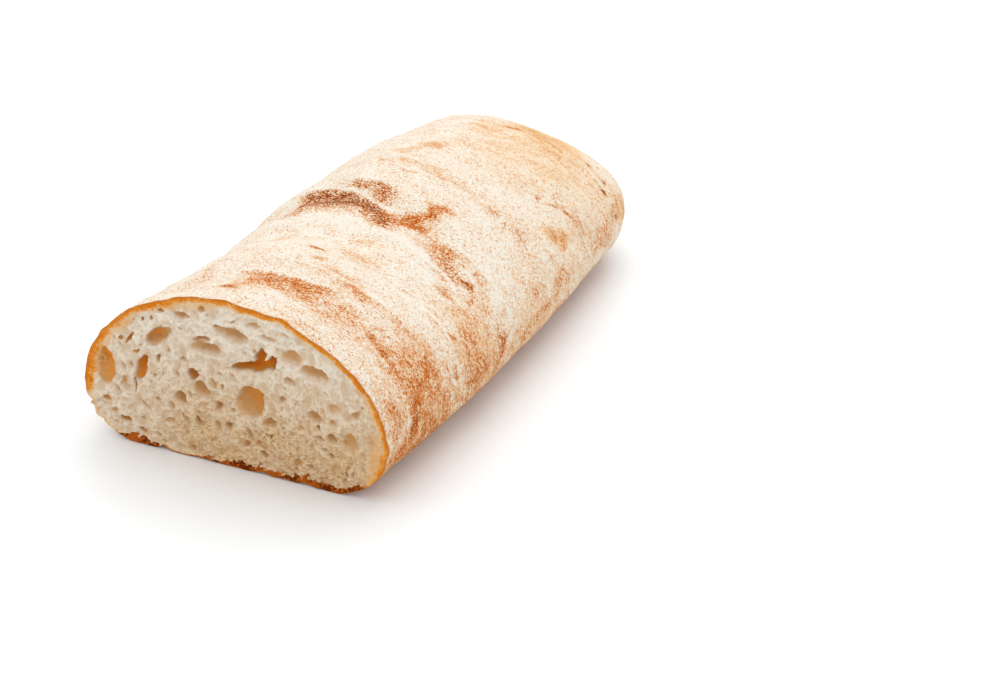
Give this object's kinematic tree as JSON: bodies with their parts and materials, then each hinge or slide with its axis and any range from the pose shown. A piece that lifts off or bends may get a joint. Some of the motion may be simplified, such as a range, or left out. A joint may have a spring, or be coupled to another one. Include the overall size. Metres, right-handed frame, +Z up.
{
  "type": "ciabatta loaf",
  "caption": "Ciabatta loaf with one end cut off: low rounded loaf with a folded, floured crust, and an open crumb with uneven holes at the flat cut.",
  "frame": {"origin": "centre of the loaf's footprint box on the floor it rests on", "axes": "+X across the loaf, to the right seen from the cut; +Y along the loaf from the cut face to the rounded far end; +Z up"},
  "size_m": [0.1164, 0.235, 0.0607],
  "materials": {
    "crust": "baked bread crust dusted with white flour, matt, with orange-brown bare patches"
  },
  "bodies": {
    "root": {"loaf": "crust"}
  },
  "joints": []
}
